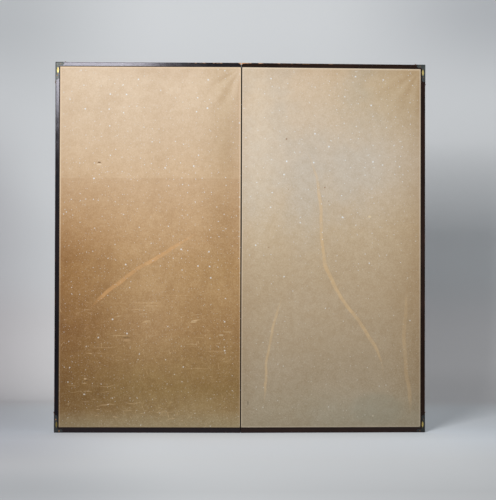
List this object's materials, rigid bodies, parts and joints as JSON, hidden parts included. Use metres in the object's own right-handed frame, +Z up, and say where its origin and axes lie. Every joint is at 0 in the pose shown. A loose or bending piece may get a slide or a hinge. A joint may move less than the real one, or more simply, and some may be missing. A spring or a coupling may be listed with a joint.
{
  "type": "folding screen",
  "caption": "Free-standing paper folding screen with lacquered frame, metal corner fittings and paper hinges; its panels fold flat together either way.",
  "frame": {"origin": "on the floor, at the middle of the standing screen's box", "axes": "+Z up, front of the screen at -Y, +X to the right as seen from the front"},
  "size_m": [1.7398, 0.0416, 1.7304],
  "materials": {
    "left_front_paper": "aged mica paper, matt with a faint shimmer, darker downwards",
    "right_front_paper": "aged mica paper, matt with a faint shimmer, greyer",
    "back_paper": "plain muted paper, matt",
    "lining_paper": "pasted lining paper, matt",
    "hinge_paper": "tough hinge paper, matt",
    "frame_lacquer": "brown-black lacquer on wood, satin, worn at the arrises",
    "cedar_core": "planed cedar, bare",
    "bamboo": "split bamboo, bare",
    "patinated_metal": "copper alloy with a dark grey-green patina",
    "gilt": "pale gilding, worn",
    "nail_brass": "copper-brown brass, worn bright on the heads"
  },
  "bodies": {
    "left_panel": {"left_core_outer_stile": "cedar_core", "left_core_hinge_stile": "cedar_core", "left_core_top_rail": "cedar_core", "left_core_bottom_rail": "cedar_core", "left_core_uprights": "cedar_core", "left_core_crossbars": "cedar_core", "left_front_base_paper": "lining_paper", "left_back_base_paper": "lining_paper", "left_front_hinge_tabs": "hinge_paper", "left_back_hinge_tabs": "hinge_paper", "left_front_face_paper": "left_front_paper", "left_back_face_paper": "back_paper", "left_frame_top_rail": "frame_lacquer", "left_frame_bottom_rail": "frame_lacquer", "left_frame_stile": "frame_lacquer", "left_frame_pegs": "bamboo", "left_top_corner_fitting": "patinated_metal", "left_bottom_corner_fitting": "patinated_metal", "left_top_gilt_inlay": "gilt", "left_bottom_gilt_inlay": "gilt", "left_fitting_nails": "nail_brass"},
    "right_panel": {"right_core_outer_stile": "cedar_core", "right_core_hinge_stile": "cedar_core", "right_core_top_rail": "cedar_core", "right_core_bottom_rail": "cedar_core", "right_core_uprights": "cedar_core", "right_core_crossbars": "cedar_core", "right_front_base_paper": "lining_paper", "right_back_base_paper": "lining_paper", "right_front_hinge_tabs": "hinge_paper", "right_back_hinge_tabs": "hinge_paper", "right_front_face_paper": "right_front_paper", "right_back_face_paper": "back_paper", "right_frame_top_rail": "frame_lacquer", "right_frame_bottom_rail": "frame_lacquer", "right_frame_stile": "frame_lacquer", "right_frame_pegs": "bamboo", "right_top_corner_fitting": "patinated_metal", "right_bottom_corner_fitting": "patinated_metal", "right_top_gilt_inlay": "gilt", "right_bottom_gilt_inlay": "gilt", "right_fitting_nails": "nail_brass"},
    "forward_leaves": {"forward_hinge_leaves": "hinge_paper"},
    "backward_leaves": {"backward_hinge_leaves": "hinge_paper"}
  },
  "joints": [
    {"name": "fold_forward", "type": "hinge", "parent": "forward_leaves", "child": "left_panel", "pos_m": [-0.00055, -0.0222, 0.8635], "axis": [0, 0, 1], "range_deg": [0, 180]},
    {"name": "fold_backward", "type": "hinge", "parent": "forward_leaves", "child": "right_panel", "pos_m": [0, -0.00121, 0.8635], "axis": [0, 0, 1], "range_deg": [-3, 177]},
    {"name": "backward_leaves_turn", "type": "hinge", "parent": "left_panel", "child": "backward_leaves", "pos_m": [0, -0.00121, 0.8635], "axis": [0, 0, 1], "range_deg": [-3, 177]}
  ],
  "couplings": [
    {"joint": "backward_leaves_turn", "follows": "fold_backward", "ratio": 1}
  ]
}
